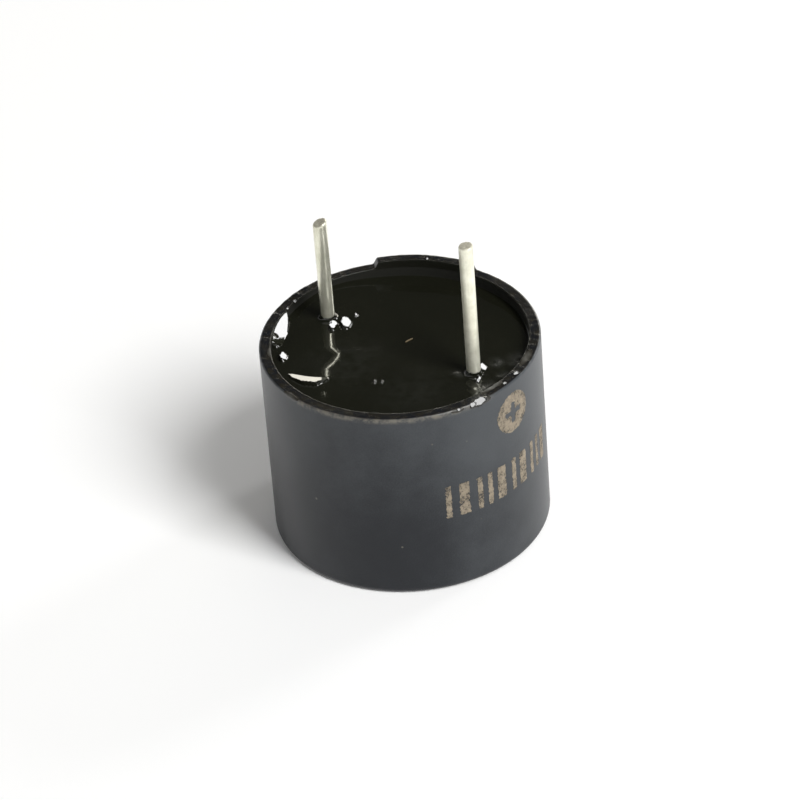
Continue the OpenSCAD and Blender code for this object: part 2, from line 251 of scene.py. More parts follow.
class Paint:
    """Builds the shader tree of a material or a world."""

    def __init__(self, owner):
        owner.use_nodes = True
        self.owner = owner
        self.tree = owner.node_tree
        self.tree.nodes.clear()

    def node(self, kind, settings=None, sockets=None, output=0):
        """Adds a node, sets it, then gives its sockets their values or links, and returns one output."""
        made = self.tree.nodes.new(kind)
        for name, value in (settings or {}).items():
            setattr(made, name, value)
        for name, value in (sockets or {}).items():
            self.feed(made.inputs[name], value)
        return Wire(self, made.outputs[output]) if len(made.outputs) else None

    def feed(self, socket, value):
        """Links a wire to a socket, or sets the socket's own value."""
        if isinstance(value, Wire):
            self.tree.links.new(value.socket, socket)
        elif socket.type == "VECTOR" and not hasattr(value, "__len__"):
            socket.default_value = (value, value, value)
        elif socket.type == "RGBA":
            socket.default_value = (*value, 1)
        else:
            socket.default_value = value

    def place(self):
        """The point on the surface, in millimetres of the frame."""
        return self.node("ShaderNodeTexCoord", output="Object") * (1 / MM)

    def axis(self, place, name):
        """One coordinate of a point."""
        return self.node("ShaderNodeSeparateXYZ", None, {0: place}, name)

    def radius(self, place):
        """Distance of a point from the axis of the case."""
        return self.node("ShaderNodeVectorMath", {"operation": "LENGTH"}, {0: place * (1, 1, 0)}, "Value")

    def turn(self, place):
        """Direction of a point round the axis of the case, in degrees."""
        sides = {0: self.axis(place, "Y"), 1: self.axis(place, "X")}
        return self.node("ShaderNodeMath", {"operation": "ARCTAN2"}, sides) * math.degrees(1)

    def mask(self, name):
        """A mask that the points of the mesh carry."""
        return self.node("ShaderNodeAttribute", {"attribute_name": name}, None, "Fac")

    def noise(self, place, per_mm, detail=2.0, rough=0.5):
        """Cloudy noise with so many clouds to the millimetre."""
        sockets = {"Vector": place, "Scale": per_mm, "Detail": detail, "Roughness": rough}
        return self.node("ShaderNodeTexNoise", None, sockets)

    def cells(self, place, per_mm):
        """Distance to the nearest of scattered points."""
        return self.node("ShaderNodeTexVoronoi", None, {"Vector": place, "Scale": per_mm})

    def bands(self, place, per_mm, direction, distortion):
        """Sine bands along X, Y or Z, so many to the millimetre."""
        settings = {"wave_type": "BANDS", "bands_direction": direction, "wave_profile": "SIN"}
        scale = per_mm * math.tau / WAVE_RADIANS
        return self.node(
            "ShaderNodeTexWave", settings, {"Vector": place, "Scale": scale, "Distortion": distortion}
        )

    def ramp(self, value, low, high):
        """Smooth mask that goes from 0 at low to 1 at high."""
        settings = {"interpolation_type": "SMOOTHSTEP"}
        return self.node(
            "ShaderNodeMapRange", settings, {"Value": value, "From Min": low, "From Max": high}
        )

    def band(self, value, low, high, feather):
        """Smooth mask that is 1 between low and high."""
        return self.ramp(value, low - feather, low) * (1 - self.ramp(value, high, high + feather))

    def mix(self, factor, first, second):
        """Blend of two colours."""
        settings = {"data_type": "RGBA", "clamp_factor": True}
        sockets = {MIX_FACTOR: factor, MIX_FIRST: first, MIX_SECOND: second}
        return self.node("ShaderNodeMix", settings, sockets, MIX_RESULT)

    def bump(self, height, depth_mm):
        """Normal bent by a height field of a real depth."""
        return self.node(
            "ShaderNodeBump", None, {"Height": height, "Distance": depth_mm * MM, "Strength": 1.0}
        )

    def surface(self, **values):
        """Ends the tree in a Principled surface; an underscore in a name stands for a space."""
        sockets = {name.replace("_", " "): value for name, value in values.items()}
        return self.end(self.node("ShaderNodeBsdfPrincipled", None, sockets))

    def coat(self, tone, first, second, rough, relief, depth_mm, **values):
        """Ends the tree in a surface that blends two colours and has a relief of a real depth."""
        colours = self.mix(tone, first, second)
        return self.surface(
            Base_Color=colours, Roughness=rough, Normal=self.bump(relief, depth_mm), **values
        )

    def end(self, shader, kind="ShaderNodeOutputMaterial"):
        """Links the last shader to the output and returns what was painted."""
        self.node(kind, None, {"Surface": shader})
        return self.owner


def new_paint(name):
    """The paint of a new material, and the point on its surface."""
    paint = Paint(bpy.data.materials.new(name))
    return paint, paint.place()


# Finishes of the pieces that show

# Side of the wall painted paler as painted light where the key light falls, and the front side whose rim edge
# gets dust and a painted highlight: from, to and feather, in degrees
PAINTED_KEY_LIGHT_SIDE = (-24, 55, 26)
DUST_AND_HIGHLIGHT_SIDE = (-98, -24, 14)
# Refraction of the plastic, of the resin and of a thin film of it
PLASTIC_IOR = 1.40
RESIN_IOR = 1.58
FILM_IOR = 1.45
# Roughness of the poured resin and of the beads
POUR_ROUGH = 0.05
BEAD_ROUGH = 0.28
# Depth of fine grain, in millimetres
GRAIN = 0.004
# Share of its colour that thin worn ink keeps
WORN_INK = 0.45


def case_finish(looks):
    """Matte moulded plastic with bloom, painted light that makes the wall paler towards the rim and on the
    key-lit side, dust specks, a front rim edge of dust and painted highlight, and a dull rim.
    """
    paint, place = new_paint("case_plastic")
    height = paint.axis(place, "Z")
    radius = paint.radius(place)
    turn = paint.turn(place)
    rim, ledge = RIM_Z / MM, LEDGE_Z / MM
    wall, bore_wall = CASE_R / MM, BORE_R / MM
    clouds = paint.noise(place, per_mm=0.55, detail=5.0, rough=0.6)
    grain = paint.noise(place, per_mm=16.0, detail=3.0, rough=0.6)
    # Painted light: more bloom towards the rim and on the side that the key light falls on, standing in for
    # that light.
    painted_light_on_wall = paint.ramp(height, 2.0, rim) * 0.38 + paint.band(turn, *PAINTED_KEY_LIGHT_SIDE) * 0.28
    bloom = paint.ramp(clouds * 0.45 + grain * 0.25 + painted_light_on_wall, 0.275, 1.125)
    plastic = paint.mix(bloom, looks.shade, looks.bloom)
    specks = 1 - paint.ramp(paint.cells(place, per_mm=0.55), 0.018, 0.04)
    speckled = paint.mix(specks * 0.3, plastic, looks.dust)
    # Dust along the front edge of the rim, partly a painted highlight where the key light catches that edge.
    edge = paint.ramp(height, rim - 0.3, rim - 0.1) * paint.ramp(radius, wall - 0.14, wall - 0.03)
    crumbs = paint.ramp(paint.noise(place, per_mm=3.2, detail=5.0, rough=0.75), 0.34, 0.62)
    dust_and_edge_highlight = edge * paint.band(turn, *DUST_AND_HIGHLIGHT_SIDE) * crumbs
    dusty = paint.mix(dust_and_edge_highlight * 0.45, speckled, looks.dust)
    off_edge = 1 - paint.ramp(radius, wall - 0.1, wall - 0.02)
    on_top = paint.ramp(height, rim - 0.1, rim - 0.05) * off_edge
    mottle = paint.ramp(paint.noise(place, per_mm=3.0, detail=4.0, rough=0.7), 0.3, 0.7)
    rimmed = paint.mix(on_top, dusty, paint.mix(mottle, looks.rim, looks.shade))
    inside = 1 - paint.ramp(radius, bore_wall + 0.02, bore_wall + 0.1)
    bore = inside * paint.ramp(height, ledge, ledge + 0.2)
    matte = 0.27 + 0.12 * grain + 0.06 * clouds
    rough = matte * (1 - 0.6 * on_top) * (1 + 1.4 * bore)
    relief = grain + on_top * mottle * 2
    return paint.coat(bore, rimmed, looks.film, rough, relief, GRAIN, IOR=PLASTIC_IOR)


def potting_finish(name, looks, roughness):
    """Glossy black resin with a faint haze, dust, dull patches that also carry a painted reflection and
    painted highlights, and a slight orange peel.
    """
    paint, place = new_paint(name)
    haze = paint.ramp(paint.noise(place, per_mm=0.7, detail=5.0, rough=0.65), 0.48, 0.75)
    dust = 1 - paint.ramp(paint.cells(place, per_mm=0.9), 0.02, 0.05)
    film = paint.mix(haze * 0.3, looks.resin, looks.haze)
    dusty = paint.mix(dust * 0.25, film, looks.dust)
    blotches = paint.ramp(paint.noise(place, per_mm=2.5, detail=4.0, rough=0.6), 0.25, 0.65)
    dull = blotches * paint.mask("dull")
    orange_peel = paint.noise(place, per_mm=5.0)
    rough = roughness + (1 - paint.mask("wet")) * (0.05 + 0.06 * haze) + 0.3 * dull
    return paint.coat(dull, dusty, looks.dull, rough, orange_peel, GRAIN / 2, IOR=RESIN_IOR)


def smear_finish(looks, bare):
    """Thin dull resin that fades out towards its edges, pale grey where thick; at the right of the rim that
    grey is a painted reflection.
    """
    paint, place = new_paint("rim_resin")
    streaks = paint.noise(place, per_mm=4.0, detail=5.0, rough=0.7)
    thick = paint.mask("thick")
    cover = thick * thick * paint.ramp(streaks, 0.2, 0.65)
    rough = 0.2 + 0.3 * thick + 0.08 * streaks
    return paint.coat(cover, bare, looks.smear, rough, streaks, GRAIN, IOR=FILM_IOR)


def pin_finish(looks, name, metallic, roughness):
    """Tin plate over drawn wire: lengthwise lines, dull patches and bare cut ends."""
    paint, place = new_paint(name)
    lines = paint.noise(place * (1, 1, 0.04), per_mm=9.0, detail=4.0, rough=0.6)
    patches = paint.noise(place, per_mm=1.6, detail=4.0, rough=0.6)
    plate = paint.mix(paint.ramp(patches + lines * 0.5, 0.55, 1.0), looks.tin, looks.tarnish)
    cut = paint.mask("cut")
    bare = paint.mix(paint.noise(place, per_mm=9.0, detail=3.0), looks.cut_end, looks.tarnish)
    rough = roughness + 0.08 * patches + 0.3 * cut
    return paint.coat(cut, plate, bare, rough, lines, GRAIN, Metallic=metallic - 0.3 * cut)


def ink_finish(looks):
    """Worn printing ink: uneven cover with bare spots."""
    paint, place = new_paint("marking_ink")
    cover = paint.noise(place, per_mm=2.2, detail=5.0, rough=0.7)
    grit = paint.noise(place, per_mm=11.0, detail=3.0, rough=0.6)
    thin = tuple(value * WORN_INK for value in looks.ink)
    body = paint.ramp(cover + grit * 0.4, 0.5, 0.95)
    alpha = 0.25 + 0.7 * paint.ramp(cover * 0.6 + grit * 0.4, 0.36, 0.5)
    return paint.coat(body, thin, looks.ink, 0.6 + 0.2 * grit, grit, GRAIN, Alpha=alpha)


def lint_finish():
    """A pale textile fibre."""
    paint, place = new_paint("lint_fibre")
    fuzz = paint.noise(place, per_mm=20.0, detail=3.0)
    straw = paint.mix(fuzz, (0.11, 0.085, 0.045), (0.25, 0.19, 0.11))
    return paint.surface(Base_Color=straw, Roughness=0.7 + 0.2 * fuzz)


# Finishes of the pieces sealed inside, which keep their solids

# Radians that the marks of turning run through in a millimetre
TURNING = 90


def metal(name, bright, dull, roughness, scratch=(1, 1, 1)):
    """Worked metal: stretched scratches and dull clouds."""
    paint, place = new_paint(name)
    scratches = paint.noise(place * scratch, per_mm=8.0, detail=4.0, rough=0.65)
    clouds = paint.noise(place, per_mm=1.2, detail=4.0, rough=0.6)
    worn = paint.ramp(clouds + scratches * 0.4, 0.5, 0.95)
    return paint.coat(worn, bright, dull, roughness + 0.18 * scratches, scratches, 0.003, Metallic=1.0)


def turned_iron():
    """Soft iron with the rings that turning leaves."""
    paint, place = new_paint("soft_iron")
    rings = paint.node("ShaderNodeMath", {"operation": "SINE"}, {0: paint.radius(place) * TURNING})
    clouds = paint.noise(place, per_mm=1.5, detail=4.0, rough=0.6)
    dark, light = (0.34, 0.33, 0.32), (0.50, 0.49, 0.48)
    return paint.coat(clouds, dark, light, 0.34 + 0.12 * clouds, rings, 0.002, Metallic=1.0)


def moulding(name, shade, bloom, roughness, per_mm=14.0):
    """Moulded plastic with grain and faint flow clouds."""
    paint, place = new_paint(name)
    grain = paint.noise(place, per_mm, detail=3.0, rough=0.6)
    clouds = paint.noise(place, per_mm=0.8, detail=4.0, rough=0.6)
    flow = paint.ramp(clouds + grain * 0.3, 0.45, 0.85)
    return paint.coat(flow, shade, bloom, roughness + 0.15 * grain, grain, 0.005)


def ferrite():
    """Bonded ferrite: dark grains in a binder."""
    paint, place = new_paint("ferrite")
    grains = paint.cells(place, per_mm=9.0)
    spread = paint.ramp(grains, 0.1, 0.6)
    binder, dark = (0.085, 0.080, 0.075), (0.042, 0.040, 0.038)
    return paint.coat(spread, binder, dark, 0.5 + 0.25 * grains, grains, 0.01, Metallic=0.25)


def enamelled_copper():
    """Enamelled wire wound turn by turn."""
    paint, place = new_paint("enamelled_copper")
    turns = paint.bands(place, 10.0, "Z", 0.4)
    clouds = paint.noise(place, per_mm=2.0, detail=3.0)
    tone = turns * 0.7 + clouds * 0.3
    dark, bright = (0.16, 0.042, 0.014), (0.50, 0.17, 0.06)
    return paint.coat(tone, dark, bright, 0.22 + 0.15 * clouds, turns, 0.04, Metallic=0.85)


def laminate():
    """Resin laminate whose glass weave shows through."""
    paint, place = new_paint("board_laminate")
    weave = paint.bands(place, 2.2, "X", 0.3) * 0.5 + paint.bands(place, 2.2, "Y", 0.3) * 0.5
    clouds = paint.noise(place, per_mm=3.0, detail=3.0)
    tone = weave * 0.8 + clouds * 0.2
    dark, light = (0.20, 0.15, 0.045), (0.33, 0.26, 0.10)
    return paint.coat(tone, dark, light, 0.35 + 0.2 * clouds, weave, 0.006)


def solder():
    """Reflowed solder with a faint frosted grain."""
    paint, place = new_paint("solder")
    frost = paint.cells(place, per_mm=14.0)
    clouds = paint.noise(place, per_mm=3.0, detail=3.0)
    dark, bright = (0.50, 0.50, 0.49), (0.70, 0.70, 0.69)
    return paint.coat(clouds, dark, bright, 0.2 + 0.2 * frost, frost, GRAIN, Metallic=1.0)


def inner_finishes():
    """The finish of each node that keeps its solid."""
    iron = turned_iron()
    copper_wire = enamelled_copper()
    black = moulding("moulded_black", (0.010, 0.010, 0.011), (0.020, 0.020, 0.021), 0.5, 22.0)
    tinned = metal("tinned_metal", (0.74, 0.72, 0.67), (0.55, 0.53, 0.48), 0.26)
    joint = solder()
    return {
        "diaphragm": metal("spring_steel", (0.60, 0.60, 0.60), (0.42, 0.42, 0.42), 0.22, (0.05, 1, 1)),
        "diaphragm_weight": iron,
        "diaphragm_frame": moulding("frame_plastic", (0.014, 0.014, 0.015), (0.027, 0.027, 0.029), 0.5),
        "ring_magnet": ferrite(),
        "pole_core": iron,
        "yoke_plate": metal("plated_steel", (0.62, 0.61, 0.58), (0.44, 0.43, 0.41), 0.3, (1, 0.08, 1)),
        "coil_bobbin": moulding("bobbin_nylon", (0.60, 0.55, 0.42), (0.74, 0.70, 0.58), 0.4, 9.0),
        "coil_winding": copper_wire,
        "coil_leads": copper_wire,
        "circuit_board": laminate(),
        "board_copper": metal("bare_copper", (0.66, 0.30, 0.15), (0.40, 0.16, 0.07), 0.3),
        "transistor_body": black,
        "transistor_leads": tinned,
        "resistor_body": black,
        "resistor_terminals": tinned,
        "wire_solder": joint,
        "pin_solder": joint,
    }


# Meshes

def smooth_step(low, high, values):
    """Smooth rise from 0 at low to 1 at high."""
    t = np.clip((values - low) / (high - low), 0, 1)
    return t * t * (3 - 2 * t)


def ripples(points, size, seed, waves=24):
    """Uneven smooth field of about -1 to 1 over points, with bumps of a size."""
    draw = np.random.default_rng(seed)
    directions = unit(draw.normal(size=(waves, points.shape[-1])))
    directions *= math.tau / size * draw.uniform(0.5, 1.5, size=(waves, 1))
    phases = draw.uniform(0, math.tau, size=waves)
    return np.sin(points @ directions.T + phases).sum(axis=-1) / math.sqrt(waves)


def fade(off, reach):
    """Smooth hill that is 1 at its middle and has fallen to 1/e at its reach."""
    return np.exp(-((off / reach) ** 2))


def unit(vectors):
    """Vectors of length 1 in the same directions."""
    return vectors / np.linalg.norm(vectors, axis=-1, keepdims=True)


def heading(degrees):
    """Cosine and sine of a direction."""
    return math.cos(math.radians(degrees)), math.sin(math.radians(degrees))


def all_round(columns):
    """So many directions round a circle."""
    return np.linspace(0, math.tau, columns, endpoint=False)


def around(r, z, turns):
    """Points at a distance from the axis and at a height, in each direction."""
    return np.stack(np.broadcast_arrays(r * np.cos(turns), r * np.sin(turns), z), axis=-1)


def with_poles(first, rings, last):
    """One list of points: a first pole, rings and a last pole."""
    return np.concatenate([[first], rings.reshape(-1, 3), [last]])


def ring_faces(rows, columns, closed):
    """Quads between rings of points; closed also joins the last ring to the first."""
    joins = [(i, (i + 1) % rows) for i in range(rows if closed else rows - 1)]
    steps = [(j, (j + 1) % columns) for j in range(columns)]
    return [
        (i * columns + j, i * columns + k, n * columns + k, n * columns + j)
        for i, n in joins for j, k in steps
    ]


def capped_faces(rows, columns):
    """Faces over a first pole, rings of points and a last pole."""
    body = [tuple(corner + 1 for corner in face) for face in ring_faces(rows, columns, False)]
    last = 1 + (rows - 1) * columns
    steps = [(j, (j + 1) % columns) for j in range(columns)]
    first_fan = [(0, 1 + k, 1 + j) for j, k in steps]
    last_fan = [(last + columns, last + j, last + k) for j, k in steps]
    return first_fan + body + last_fan


def closed_shell(outer, inner, faces):
    """Points and faces of a shell between two skins that share their faces, walled along every border."""
    used = sorted({corner for face in faces for corner in face})
    place = {corner: index for index, corner in enumerate(used)}
    count = len(used)
    front = [tuple(place[corner] for corner in face) for face in faces]
    rear = [tuple(corner + count for corner in reversed(face)) for face in front]
    edges = {(a, b) for face in front for a, b in zip(face, face[1:] + face[:1])}
    walls = [(a + count, b + count, b, a) for a, b in edges if (b, a) not in edges]
    skins = [skin.reshape(-1, 3)[used] for skin in (outer, inner)]
    return np.concatenate(skins), front + rear + sorted(walls), used


def add_object(name, data):
    """Puts a new object into the scene."""
    made = bpy.data.objects.new(name, data)
    bpy.context.scene.collection.objects.link(made)
    return made


def add_piece(name, points, faces, finish, slot=None, stands_for=None, masks=None):
    """Makes a mesh piece of the part, shades it and lets it ride on the part's one body."""
    mesh = bpy.data.meshes.new(name)
    mesh.from_pydata(np.reshape(points, (-1, 3)).tolist(), [], faces)
    mesh.shade_smooth()
    mesh.set_sharp_from_angle(angle=SHARP_ANGLE)
    for mask, values in (masks or {}).items():
        mesh.attributes.new(mask, "FLOAT", "POINT").data.foreach_set("value", values)
    mesh.materials.append(finish)
    piece = add_object(name, mesh)
    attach(piece, BODY)
    if stands_for:
        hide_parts(stands_for)
    return piece


# Case

# Waves along the rim: share, size in millimetres and seed, and the level at which their crests are worn flat
RIM_WAVES = [(0.5, 2.6, 11), (0.35, 0.5, 12)]
RIM_CREST = 0.6
# Nicks in the rim: size in millimetres and seed, the level above which one cuts, and its share
RIM_NICKS = (0.42, 13)
NICK_LEVEL = 1.3
NICK_SHARE = 0.4


def rounded_outline(corners, arc_steps=8, support=0.03 * MM):
    """Closed outline in (radius, height) whose corners are arcs, with a point just off each arc's ends."""
    outline = []
    for i, (r, z, rounding) in enumerate(corners):
        here = Vector((r, z))
        back = (Vector(corners[i - 1][:2]) - here).normalized()
        on = (Vector(corners[(i + 1) % len(corners)][:2]) - here).normalized()
        half = back.angle(on) / 2
        reach = rounding / math.tan(half)
        centre = here + (back + on).normalized() * (rounding / math.sin(half))
        spoke = here + back * reach - centre
        sweep = spoke.angle_signed(here + on * reach - centre)
        outline.append(here + back * (reach + support))
        for step in range(arc_steps + 1):
            outline.append(centre + Matrix.Rotation(-sweep * step / arc_steps, 2) @ spoke)
        outline.append(here + on * (reach + support))
    return np.array(outline)


def case_outline(looks):
    """Section of the moulded cup, from the sound hole outwards, up the wall and down the inside."""
    hole = looks.hole_d / 2
    small = looks.inner_round
    return rounded_outline([
        (hole + looks.hole_chamfer, 0, small),
        (CASE_R, 0, looks.edge_round),
        (CASE_R, RIM_Z, looks.rim_round),
        (BORE_R, RIM_Z, small),
        (BORE_R, LEDGE_Z, small),
        (looks.resonator_r, LEDGE_Z, small),
        (looks.resonator_r, looks.face_t, small),
        (hole, looks.face_t, small),
        (hole, looks.hole_chamfer, small),
    ])


def rim_lift(x, y, looks):
    """Height of the rim over its nominal level at points: its stand-off with its waves and nicks."""
    turns = np.arctan2(y, x)
    off_middle = np.abs((turns - looks.foot_turn + math.pi) % math.tau - math.pi) * CASE_R
    half = looks.foot_span / 2 * CASE_R
    foot = (FOOT_TOP - RIM_Z) * (1 - smooth_step(half, half + looks.foot_slope, off_middle))
    flat = np.stack([x, y], axis=-1) / MM
    waves = sum(share * ripples(flat, size, seed) for share, size, seed in RIM_WAVES)
    nicks = np.maximum(ripples(flat, *RIM_NICKS) - NICK_LEVEL, 0) * NICK_SHARE
    return foot + looks.unevenness * (np.minimum(waves, RIM_CREST) - nicks - RIM_CREST)


def case_points(looks):
    """The cup turned from its section, with its stand-off and an uneven rim."""
    r, z = case_outline(looks).T[..., None]
    points = around(r, z, all_round(CASE_COLUMNS))
    at_rim = points[..., 2] > RIM_Z - 2 * looks.rim_round
    points[..., 2] += np.where(at_rim, rim_lift(points[..., 0], points[..., 1], looks), 0)
    return points


# Potting. Places, sizes and heights are in millimetres, directions in degrees, slopes in fall per run.

# How the resin creeps up the bore: direction, height and width
WALL_CREEP = [
    (-180, 0.01, 0.02), (-125, 0.01, 0.02), (-105, 0.28, 0.5), (-60, 0.30, 0.5),
    (-15, 0.34, 0.6), (25, 0.06, 0.1), (60, 0.01, 0.02), (180, 0.01, 0.02),
]
# How the resin creeps up the pins: place of the pin, width and height
PIN_CREEP = [(POSITIVE_X / MM, 0.14, 0.30), (NEGATIVE_X / MM, 0.2, 0.24)]
# How unevenly it creeps: share, then size and seed of the unevenness
CREEP_SHARE = 0.12
CREEP_WANDER = (1.1, 21)
# Round drops on the resin: place, radius and height, and how they bulge
DROPS = [(4.85, 0.25, 0.24, 0.03), (3.20, -0.45, 0.30, 0.025)]
DROP_BULGE = 1.5
# The drip at the wall: outline, height of its lowest corner, and its pit as place, radius and depth
WALL_DRIP = [
    (-5.48, -0.61), (-6.00, -1.00), (-5.35, -3.10), (-4.78, -2.84),
    (-4.52, -2.63), (-4.42, -2.28), (-4.86, -1.40), (-5.20, -0.89),
]
WALL_DRIP_LIP = -0.05
WALL_DRIP_PIT = (-4.86, -2.32, 0.11, 0.05)
# Drips: place of the middle, half width down the fall, half length across it, height of the lowest edge, and
# how many times as steep as the drip at the wall. Then the direction and slope of that drip, and how far the
# ends of a drip run on, as a share of its half width
DRIPS = [
    (-3.21, -0.38, 0.15, 0.24, 0.02, 1.0), (-2.85, 0.04, 0.20, 0.25, 0.01, 1.0),
    (-2.90, 0.83, 0.08, 0.09, 0.01, 1.10), (-3.82, -3.19, 0.16, 0.19, 0.01, 1.17),
    (3.94, 0.50, 0.14, 0.17, 0.01, 1.0), (4.23, -0.28, 0.06, 0.22, 0.01, 1.12),
    (0.49, -2.54, 0.06, 0.07, 0.01, 1.15), (0.75, -2.39, 0.06, 0.07, 0.01, 1.15),
]
DRIP_TURN = 16
DRIP_SLOPE = 0.776
DRIP_RUN_ON = 0.3
# The edge where two pours met: outline, direction and slope of its fall, height of its lowest edge, and gloss
CRESCENT = [
    (-1.48, -3.27), (-3.00, -4.04), (-2.66, -4.26), (-2.05, -4.32), (-1.48, -4.06), (-1.24, -3.42),
]
CRESCENT_TURN = 110
CRESCENT_SLOPE = 0.21
CRESCENT_LIP = 0.01
CRESCENT_GLOSS = 0.55
# Edges of these flat faces: width of the fall, radius of the corners, raggedness, and its size and seed
EDGE_FALL = 0.05
CORNER_R = 0.08
RAGGED = 0.007
RAGGED_FIELD = (0.32, 24)
# The swell of the resin at the negative pin: distance from the pin and height, the direction in which the
# distance runs, and its half width. Then the fall of the resin beyond the swell in the same way
SWELL = [(0.0, 0.25), (4.2, 0.02), (5.0, 0.0)]
SWELL_TURN = -52
SWELL_HALF = 2.0
FALL = [(4.1, 0.0), (4.9, -0.112), (7.6, -0.41)]
FALL_HALF = 3.5
# Shallow waves on the swell: distance from the pin and sideways slope there, and half width
WAVES = [(0.3, 0.0), (1.25, -0.030), (2.10, -0.012), (2.55, 0.103), (3.54, -0.079), (4.12, -0.069)]
WAVE_HALF = 1.2
# Gloss of the swell, and the distances from the pin between which it sets in
SWELL_GLOSS = 0.8
GLOSS_START = (-0.5, 0.5)
# Crumpled resin by the positive pin: place, reach and height. Then the size and seed of the crumples and of
# the slow waves all over
CRUMPLED_PLACE = (4.3, -0.4)
CRUMPLED_REACH = math.sqrt(0.9)
CRUMPLED_H = 0.012
CRUMPLES = (0.45, 22)
SLOW_WAVES = (2.4, 23)
# Patches that dried dull, paler and rougher: place and radius, and strength. The two broad faint ones over
# the front paint a reflection that makes the front of the resin paler, and those by the positive pin paint
# soft grey highlights as well as dull resin.
DULL_AND_SHEEN_PATCHES = [
    (4.18, 1.17, 0.28, 0.9), (3.18, -0.35, 0.30, 0.5), (4.94, 0.59, 0.26, 0.6), (4.85, 1.75, 0.40, 0.8),
    (4.90, 2.10, 0.35, 0.7), (4.82, -0.58, 0.45, 0.8), (-1.2, -2.0, 1.6, 0.14), (2.4, -2.4, 1.6, 0.14),
]
# The plain middle of the resin takes few rings of points: its radius and rings
MIDDLE_R = 2.4
MIDDLE_RINGS = 20


def creep(distance, width, height):
    """Height of resin that creeps up a wall, at a distance from it: a concave quarter curve."""
    near = np.clip(1 - distance / width, 0, 1)
    return height * (1 - np.sqrt(1 - near * near))


def drip_corners(x, y, half_dip, half_run):
    """Corners of a drip, anticlockwise."""
    c, s = heading(DRIP_TURN)
    down = np.array([c, s]) * half_dip
    across = np.array([-s, c]) * (half_run + DRIP_RUN_ON * half_dip)
    middle = np.array([x, y])
    signs = ((1, -1), (1, 1), (-1, 1), (-1, -1))
    return [tuple(middle + fall * down + side * across) for fall, side in signs]


def outline_gap(x, y, corners, rounding):
    """Signed distance of points from a convex outline with round corners that run anticlockwise."""
    sides = [
        ((x - ax) * (by - ay) - (y - ay) * (bx - ax)) / math.hypot(bx - ax, by - ay)
        for (ax, ay), (bx, by) in zip(corners, corners[1:] + corners[:1])
    ]
    off = np.array(sides) + rounding
    outside = np.sqrt((np.maximum(off, 0) ** 2).sum(axis=0))
    return outside + np.minimum(off.max(axis=0), 0) - rounding


def resin_faces():
    """Flat faces of the resin: corners, rounding, direction and slope of the fall, lowest height, gloss."""
    drips = [
        (drip_corners(x, y, dip, run), min(dip, run), DRIP_TURN, DRIP_SLOPE * steep, lip, 1.0)
        for x, y, dip, run, lip, steep in DRIPS
    ]
    return [
        (WALL_DRIP, CORNER_R, DRIP_TURN, DRIP_SLOPE, WALL_DRIP_LIP, 1.0),
        *drips,
        (CRESCENT, CORNER_R, CRESCENT_TURN, CRESCENT_SLOPE, CRESCENT_LIP, CRESCENT_GLOSS),
    ]


def swell_height(x, y):
    """Height of the swell at the negative pin over points in millimetres, of its waves, and its gloss."""
    c, s = heading(SWELL_TURN)
    from_pin = x - NEGATIVE_X / MM
    run = from_pin * c + y * s
    side = y * c - from_pin * s
    swell = np.interp(run, *zip(*SWELL)) * fade(side, SWELL_HALF)
    swell = swell + np.interp(run, *zip(*FALL)) * fade(side, FALL_HALF)
    near = fade(side, WAVE_HALF)
    waves = np.interp(run, *zip(*WAVES)) * side * near
    return swell, waves, SWELL_GLOSS * near * smooth_step(*GLOSS_START, run)


def with_faces(x, y, height):
    """Height of the resin with its flat faces over points in millimetres, and the faces' gloss."""
    ragged = RAGGED * ripples(np.stack([x, y], axis=-1), *RAGGED_FIELD)
    wet = np.zeros_like(x)
    for corners, rounding, turn, slope, lip, gloss in resin_faces():
        fall_x, fall_y = heading(turn)
        toe = max(cx * fall_x + cy * fall_y for cx, cy in corners)
        under = swell_height(*np.mean(corners, axis=0))[0]
        plane = under + lip + slope * np.clip(toe - (x * fall_x + y * fall_y), 0, None)
        gap = outline_gap(x, y, corners, rounding) + ragged
        inside = 1 - smooth_step(-EDGE_FALL / 2, EDGE_FALL / 2, gap)
        height = np.maximum(height, height + inside * (plane - height))
        wet = np.maximum(wet, gloss * inside)
    pit_x, pit_y, pit_r, pit_h = WALL_DRIP_PIT
    pit = np.clip(1 - np.hypot(x - pit_x, y - pit_y) / pit_r, 0, None)
    return height - pit_h * smooth_step(0, 1, pit), wet


def pour_height(x, y, looks):
    """Height of the poured resin over points in metres, and a mask of its wet drips and edges."""
    x, y = x / MM, y / MM
    flat = np.stack([x, y], axis=-1)
    wander = 1 + CREEP_SHARE * ripples(flat, *CREEP_WANDER)
    swell, waves, gloss = swell_height(x, y)
    height = swell + waves
    for pin_x, width, rise in PIN_CREEP:
        off = np.hypot(x - pin_x, y) - PIN_R / MM
        height = height + creep(np.maximum(off, 0) * wander, width, rise)
    height, wet = with_faces(x, y, height)
    wet = np.maximum(wet, gloss)
    for drop_x, drop_y, drop_r, drop_h in DROPS:
        off = np.hypot(x - drop_x, y - drop_y) / drop_r
        height = height + drop_h * np.clip(1 - off * off, 0, None) ** DROP_BULGE
    turns, heights, widths = np.array(WALL_CREEP).T
    turn = np.degrees(np.arctan2(y, x))
    from_wall = (BORE_R / MM - np.hypot(x, y)) * wander
    height = height + creep(from_wall, np.interp(turn, turns, widths), np.interp(turn, turns, heights))
    off = np.hypot(x - CRUMPLED_PLACE[0], y - CRUMPLED_PLACE[1])
    crumpled = CRUMPLED_H * fade(off, CRUMPLED_REACH)
    rolling = crumpled * ripples(flat, *CRUMPLES) + looks.ripple_h / MM * ripples(flat, *SLOW_WAVES)
    return RIM_Z - looks.drop + (height + rolling * (1 - wet)) * MM, wet


def dull_and_sheen_mask(x, y):
    """How dull the resin dried over points in metres, in part a painted reflection over the front and painted
    highlights by the positive pin.
    """
    patches = [
        strength * fade(np.hypot(x / MM - px, y / MM - py), radius)
        for px, py, radius, strength in DULL_AND_SHEEN_PATCHES
    ]
    return np.max(patches, axis=0)


